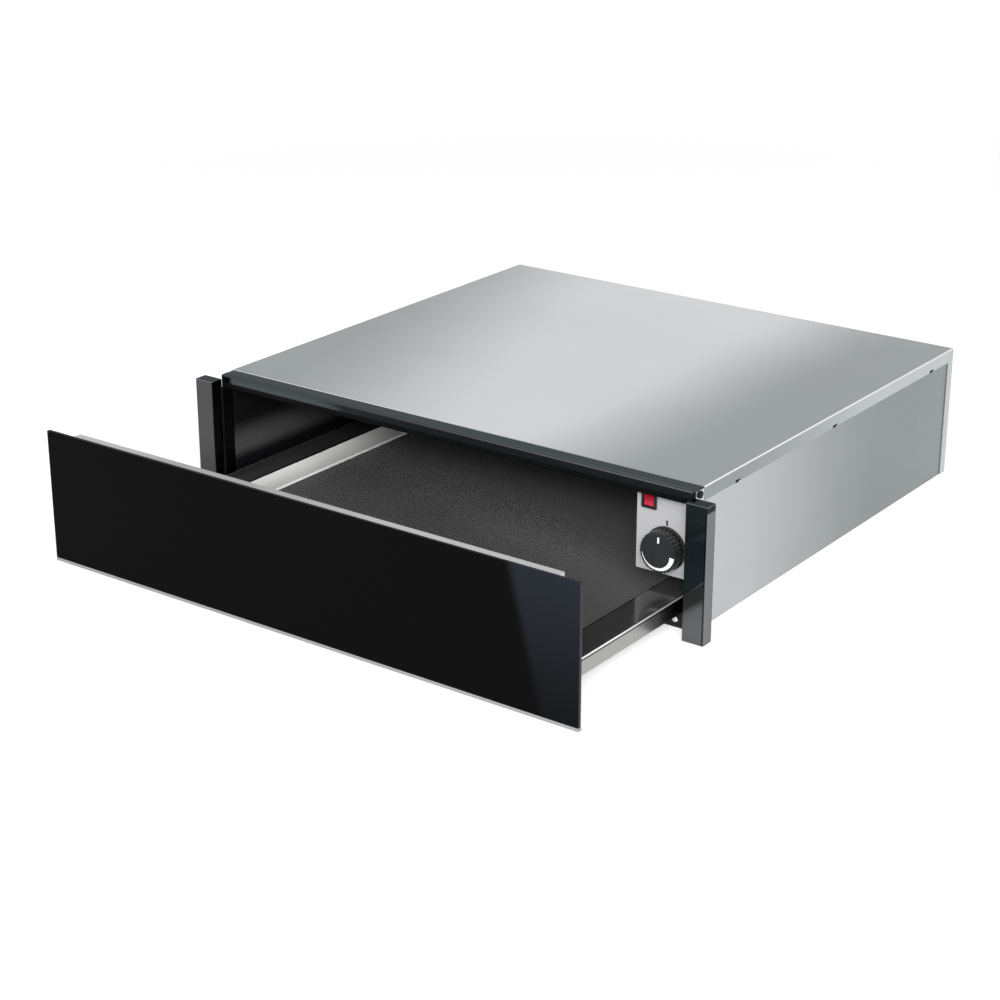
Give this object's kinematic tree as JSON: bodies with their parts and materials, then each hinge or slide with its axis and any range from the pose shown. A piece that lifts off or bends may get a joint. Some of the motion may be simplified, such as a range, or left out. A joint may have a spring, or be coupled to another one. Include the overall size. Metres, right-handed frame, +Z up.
{
  "type": "built-in warming drawer",
  "caption": "Built-in warming drawer: sheet-metal cabinet with corner posts, heated cavity, pull-out tray on ball slides with a black glass front, dial and rocker switch inside.",
  "frame": {"origin": "under the middle of the base pan, on the plane that the cabinet stands on", "axes": "+X to the right seen from the front, +Y into the niche, +Z up"},
  "size_m": [0.597, 0.724, 0.135],
  "materials": {
    "cabinet_sheet": "satin",
    "zinc_steel": "satin",
    "bright_steel": "satin",
    "polished_dark_frame": "gloss",
    "black_enamel": "satin",
    "dark_enamel": "gloss",
    "black_rubber": "matte",
    "mat_rubber": "matte",
    "mineral_wool": "matte",
    "silver_plate": "satin",
    "silver_carrier": "satin",
    "fan_aluminium": "satin",
    "motor_body": "satin",
    "black_plastic": "satin",
    "cream_plastic": "satin",
    "red_plastic": "gloss",
    "copper_tube": "satin",
    "black_glass": "gloss"
  },
  "bodies": {
    "cabinet": {"base_pan": "zinc_steel", "left_side_panel": "cabinet_sheet", "right_side_panel": "cabinet_sheet", "rear_panel": "cabinet_sheet", "top_cover": "cabinet_sheet", "left_frame_post": "polished_dark_frame", "right_frame_post": "polished_dark_frame", "top_bar": "polished_dark_frame", "bar_seal": "black_rubber", "lower_cross_member": "black_enamel", "upper_cross_member": "zinc_steel", "left_corner_plate": "zinc_steel", "right_corner_plate": "zinc_steel", "left_corner_screw": "black_enamel", "right_corner_screw": "black_enamel", "left_cross_screw": "bright_steel", "right_cross_screw": "bright_steel", "left_cavity_wall": "dark_enamel", "right_cavity_wall": "dark_enamel", "cavity_ceiling": "dark_enamel", "air_baffle": "dark_enamel", "ceiling_insulation": "mineral_wool", "control_plate": "silver_plate", "control_box": "zinc_steel", "switch_housing": "black_plastic", "thermostat": "zinc_steel", "thermostat_capillary": "copper_tube", "heating_element": "bright_steel", "fan_motor": "motor_body", "motor_bracket": "zinc_steel", "thermal_cutout": "black_plastic", "terminal_block": "cream_plastic", "cable_gland": "black_plastic", "wiring_harness": "black_rubber", "push_latch": "black_plastic", "left_cabinet_rail": "zinc_steel", "right_cabinet_rail": "zinc_steel", "left_rail_bracket": "zinc_steel", "right_rail_bracket": "zinc_steel"},
    "drawer": {"drawer_tray": "bright_steel", "left_rim_cap": "polished_dark_frame", "right_rim_cap": "polished_dark_frame", "left_side_skirt": "bright_steel", "right_side_skirt": "bright_steel", "drawer_mat": "mat_rubber", "front_carrier": "silver_carrier", "inner_front_panel": "bright_steel", "glass_front": "black_glass", "bottom_trim": "silver_carrier", "left_drawer_rail": "zinc_steel", "right_drawer_rail": "zinc_steel", "latch_striker": "zinc_steel"},
    "left_middle_slide": {"left_middle_rail": "zinc_steel"},
    "right_middle_slide": {"right_middle_rail": "zinc_steel"},
    "dial": {"thermostat_knob": "black_plastic", "thermostat_shaft": "bright_steel"},
    "rocker": {"switch_rocker": "red_plastic"},
    "fan": {"fan_wheel": "fan_aluminium", "fan_shaft": "bright_steel"},
    "plunger": {"latch_plunger": "black_plastic"}
  },
  "joints": [
    {"name": "drawer_slide", "type": "slide", "parent": "cabinet", "child": "drawer", "axis": [0, -1, 0], "range_m": [-0.19, 0.185]},
    {"name": "left_middle_travel", "type": "slide", "parent": "cabinet", "child": "left_middle_slide", "axis": [0, -1, 0], "range_m": [-0.095, 0.0925]},
    {"name": "right_middle_travel", "type": "slide", "parent": "cabinet", "child": "right_middle_slide", "axis": [0, -1, 0], "range_m": [-0.095, 0.0925]},
    {"name": "dial_turn", "type": "hinge", "parent": "cabinet", "child": "dial", "pos_m": [0.2374, -0.24785, 0.069], "axis": [0, 1, 0], "range_deg": [0, 240]},
    {"name": "rocker_tilt", "type": "hinge", "parent": "cabinet", "child": "rocker", "pos_m": [0.2193, -0.23875, 0.1115], "axis": [-1, 0, 0], "range_deg": [0, 14]},
    {"name": "fan_spin", "type": "hinge", "parent": "cabinet", "child": "fan", "pos_m": [0, -0.06875, 0.066], "axis": [0, 1, 0], "continuous": true},
    {"name": "plunger_push", "type": "slide", "parent": "cabinet", "child": "plunger", "axis": [0, 1, 0], "range_m": [0, 0.004], "stiffness_N_per_m": 400, "springref_m": -0.002}
  ],
  "couplings": [
    {"joint": "left_middle_travel", "follows": "drawer_slide", "ratio": 0.5},
    {"joint": "right_middle_travel", "follows": "drawer_slide", "ratio": 0.5}
  ]
}
